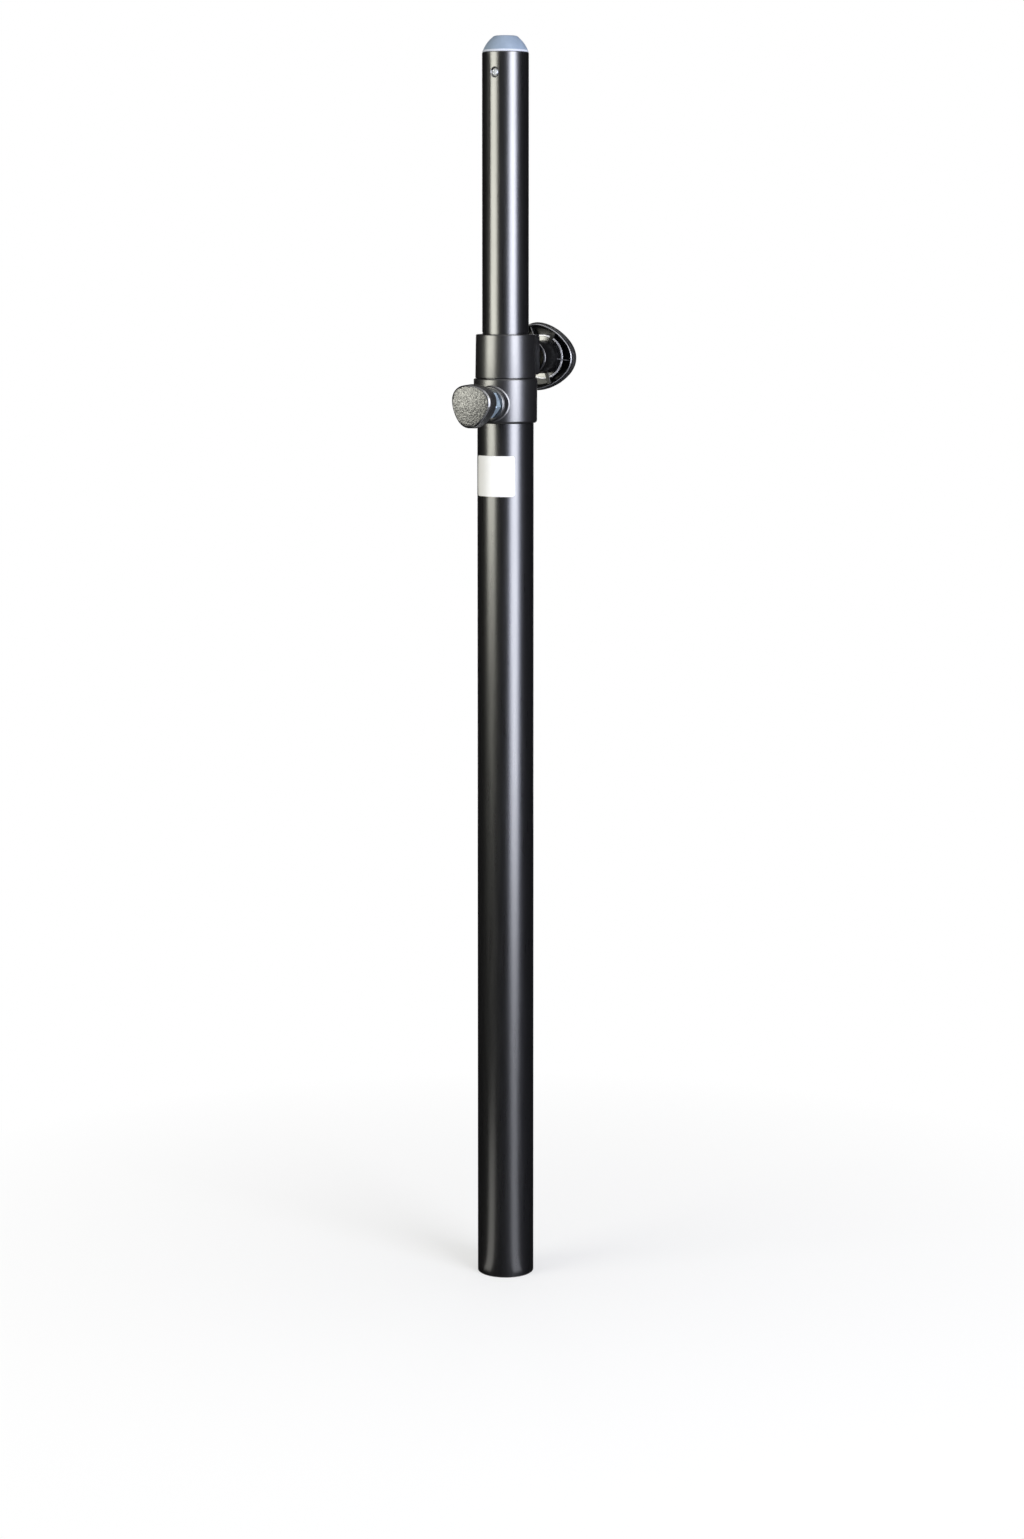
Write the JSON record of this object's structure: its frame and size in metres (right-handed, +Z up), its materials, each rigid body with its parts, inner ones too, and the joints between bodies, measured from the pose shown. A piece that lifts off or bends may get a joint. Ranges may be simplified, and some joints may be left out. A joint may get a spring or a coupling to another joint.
{
  "type": "speaker pole",
  "caption": "Telescopic speaker pole: a mast tube slides in a lower tube, held by a screw clamp and a sprung locking pin, on a threaded foot stud.",
  "frame": {"origin": "centre of the foot face, where the lower tube meets the plate it is screwed to and the foot thread starts", "axes": "+Z up along the pole, -Y to the front with the locking pin's knob and the label, +Y to the back with the clamp knob, +X to the right"},
  "size_m": [0.0519, 0.1274, 0.959],
  "materials": {
    "black_steel": "black powder coat, satin gloss",
    "bare_steel": "bare machined steel",
    "black_casting": "black coated die casting, satin",
    "guide_plastic": "slippery dark plastic",
    "brass": "turned brass",
    "zinc": "blue zinc plate",
    "label": "blank printed film",
    "aluminium": "plain rivet",
    "cap_plastic": "pale blue-grey moulded plastic",
    "knob_plastic": "black moulded plastic with a fine grain"
  },
  "bodies": {
    "pole_base": {"lower_tube": "black_steel", "foot_plug": "bare_steel", "foot_stud": "bare_steel", "pin_collar": "black_casting", "clamp_sleeve": "black_casting", "top_guide_bush": "guide_plastic", "clamp_insert": "brass", "pin_housing": "zinc", "pin_spring": "bare_steel", "label": "label"},
    "mast_guide": {"mast_guide_bush": "guide_plastic"},
    "mast": {"mast_tube": "black_steel", "mast_plug": "guide_plastic", "stop_ring": "bare_steel", "stop_rivets": "aluminium", "top_cap": "cap_plastic", "cap_screw": "zinc"},
    "clamp_pad": {"clamp_pad": "brass"},
    "clamp_knob": {"clamp_screw": "zinc", "clamp_knob": "knob_plastic"},
    "locking_pin": {"locking_pin": "zinc", "pin_ring": "bare_steel", "pull_knob": "knob_plastic"}
  },
  "joints": [
    {"name": "mast_slide", "type": "slide", "parent": "pole_base", "child": "mast_guide", "axis": [0, 0, 1], "range_m": [0, 0.49]},
    {"name": "mast_turn", "type": "hinge", "parent": "mast_guide", "child": "mast", "pos_m": [0, 0, 0.7], "axis": [0, 0, 1], "range_deg": [-180, 180]},
    {"name": "pad_slide", "type": "slide", "parent": "pole_base", "child": "clamp_pad", "axis": [0, 1, 0], "range_m": [0, 0.003]},
    {"name": "clamp_turn", "type": "hinge", "parent": "clamp_pad", "child": "clamp_knob", "pos_m": [0, 0.05, 0.6971], "axis": [0, 1, 0], "range_deg": [0, 720]},
    {"name": "pin_pull", "type": "slide", "parent": "pole_base", "child": "locking_pin", "axis": [0, -1, 0], "range_m": [-0.004, 0.002], "stiffness_N_per_m": 1000, "springref_m": -0.01, "deforming": ["pin_spring"]}
  ],
  "couplings": [
    {"joint": "pad_slide", "follows": "clamp_turn", "m_per_rad": 0.00023873}
  ]
}
